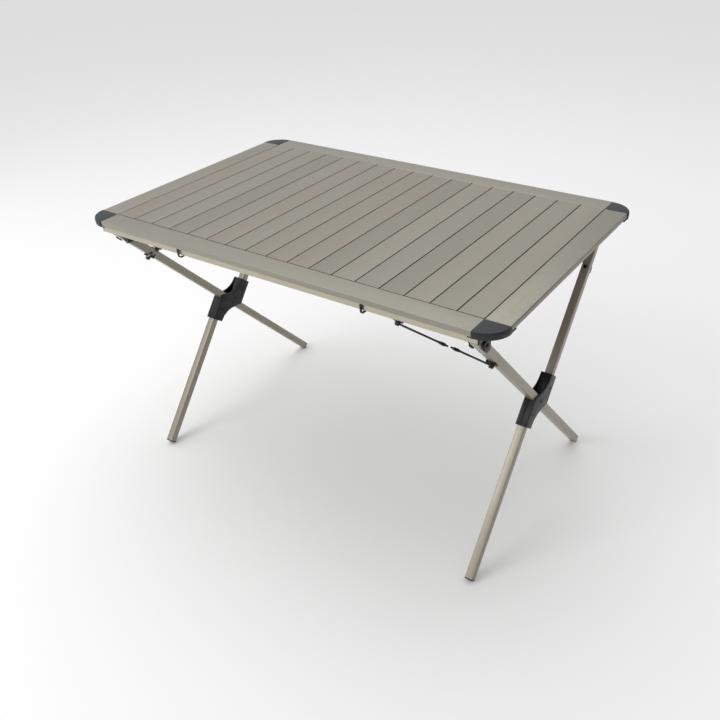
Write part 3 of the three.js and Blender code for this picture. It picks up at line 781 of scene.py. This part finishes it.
def makeBrace(end, side):
    letter = "a" if end == "front" else "b"
    normal = legs[side][letter].to_3x3() @ Vector((0, 1, 0))
    eyes = {part: Vector(joints[f"brace_{part}_turn_{end}_{side}"]["pos_m"]) for part in ("lower", "upper")}
    for part, other in (("lower", "upper"), ("upper", "lower")):
        node = f"brace_{part}_{end}_{side}"
        x = (eyes[other] - eyes[part]).normalized()
        z = x.cross(normal)
        matrix = Matrix((x, normal, z)).transposed().to_4x4()
        matrix.translation = eyes[part]
        reach = localBox(node, matrix)[1].x
        beside = sides[side] * braceLook["beside"]
        r = braceLook["rod"]
        start = braceLook["bore"] + 0.6 * mm
        length = reach - start
        rod = turned([
            (0, 0), (r * 0.7, 0), (r, 1 * mm), (r, length - 1 * mm), (r * 0.6, length), (0, length),
        ], 24)
        placed(rod, matrix @ aimed((start, 0, beside), (1, 0, 0)))
        k = braceLook["knee"]
        last = reach - braceLook["kneeTip"]
        first = last - braceLook["kneeSleeve"]
        knee = block((first, -k, beside - k), (last, k, beside + k), 1 * mm)
        rivet = placed(domedHead(1.9 * mm, 0.6 * mm),
                       matrix @ aimed(((first + last) / 2, -k, beside), (0, -1, 0)))
        collar = placed(turned([(0, 0), (2.8 * mm, 0), (2.8 * mm, 2 * mm), (r, 4 * mm), (0, 4 * mm)], 24),
                        matrix @ aimed((first, 0, beside), (-1, 0, 0)))
        brace = merged(eyeRing(matrix), rod, placed(knee, matrix), rivet, collar)
        makePiece(f"{node}_skin", brace, "blackedRod", bodyOf(node), [node])


for end in ends:
    for side in sides:
        makeBrace(end, side)
print("braces hung")


# latch hooks under the rails, and plates on the leg tops

hookLook = {"x": 255 * mm, "width": 5 * mm, "thick": 2.4 * mm, "bend": 8 * mm, "gap": 3.2 * mm,
            "under": 6 * mm}


def makeHook(end, side):
    low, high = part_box(f"{end}_tube")
    way = ends[end]
    outer = max(abs(low.y), abs(high.y)) + hookLook["gap"] + hookLook["thick"] / 2
    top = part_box(f"rail_{end}")[1].z - 2.2 * mm
    bend = hookLook["bend"]
    under = low.z - hookLook["under"] - hookLook["thick"]
    path = [(outer - 12 * mm, top), (outer, top), (outer, under + bend)]
    arc = [(outer - bend + bend * math.cos(a), under + bend - bend * math.sin(a))
           for a in (math.radians(15 * i) for i in range(1, 7))]
    tip = [(outer - 16 * mm, under), (outer - 19 * mm, under + 1.2 * mm), (outer - 21 * mm, under + 3.4 * mm)]
    path += arc + tip
    bm = bmesh.new()
    x = sides[side] * hookLook["x"]
    verts = [bm.verts.new((x - hookLook["width"] / 2, y * way, z)) for y, z in path]
    edges = [bm.edges.new(pair) for pair in zip(verts, verts[1:])]
    strip = bmesh.ops.extrude_edge_only(bm, edges=edges)
    moved = [v for v in strip["geom"] if isinstance(v, bmesh.types.BMVert)]
    bmesh.ops.translate(bm, verts=moved, vec=(hookLook["width"], 0, 0))
    bmesh.ops.recalc_face_normals(bm, faces=bm.faces)
    bmesh.ops.solidify(bm, geom=bm.faces[:], thickness=hookLook["thick"])
    bmesh.ops.recalc_face_normals(bm, faces=bm.faces)
    bevelEdges(bm, sharpEdges(bm, 60), 0.5 * mm, 2)
    makePiece(f"latch_hook_{end}_{side}", bm, "blackPlastic", "table_top")


plateLook = {"down": 36 * mm, "up": 25 * mm, "width": 16 * mm, "thick": 0.9 * mm}


def makeLegPlate(end, side):
    letter = "a" if end == "front" else "b"
    matrix = legs[side][letter]
    out = -1 if letter == "a" else 1
    offset = 0 if letter == "a" else splitOffset
    pinZ = math.sqrt(legs[side]["reach"] ** 2 - offset ** 2)
    face = offset + out * 10.1 * mm
    ys = sorted((face, face + out * plateLook["thick"]))
    plate = block((-plateLook["width"] / 2, ys[0], pinZ - plateLook["down"]),
                  (plateLook["width"] / 2, ys[1], pinZ + plateLook["up"]), 0.3 * mm, 2)
    rivets = [placed(domedHead(2.4 * mm, 0.7 * mm),
                     aimed((0, face + out * plateLook["thick"], z), (0, out, 0)))
              for z in (pinZ - 29 * mm, pinZ + 18 * mm)]
    makePiece(f"leg_plate_{end}_{side}", placed(merged(plate, *rivets), matrix), "silverPlate",
              f"leg_{letter}_{side}")


for end in ends:
    for side in sides:
        makeHook(end, side)
        makeLegPlate(end, side)
print("hooks and plates fitted")
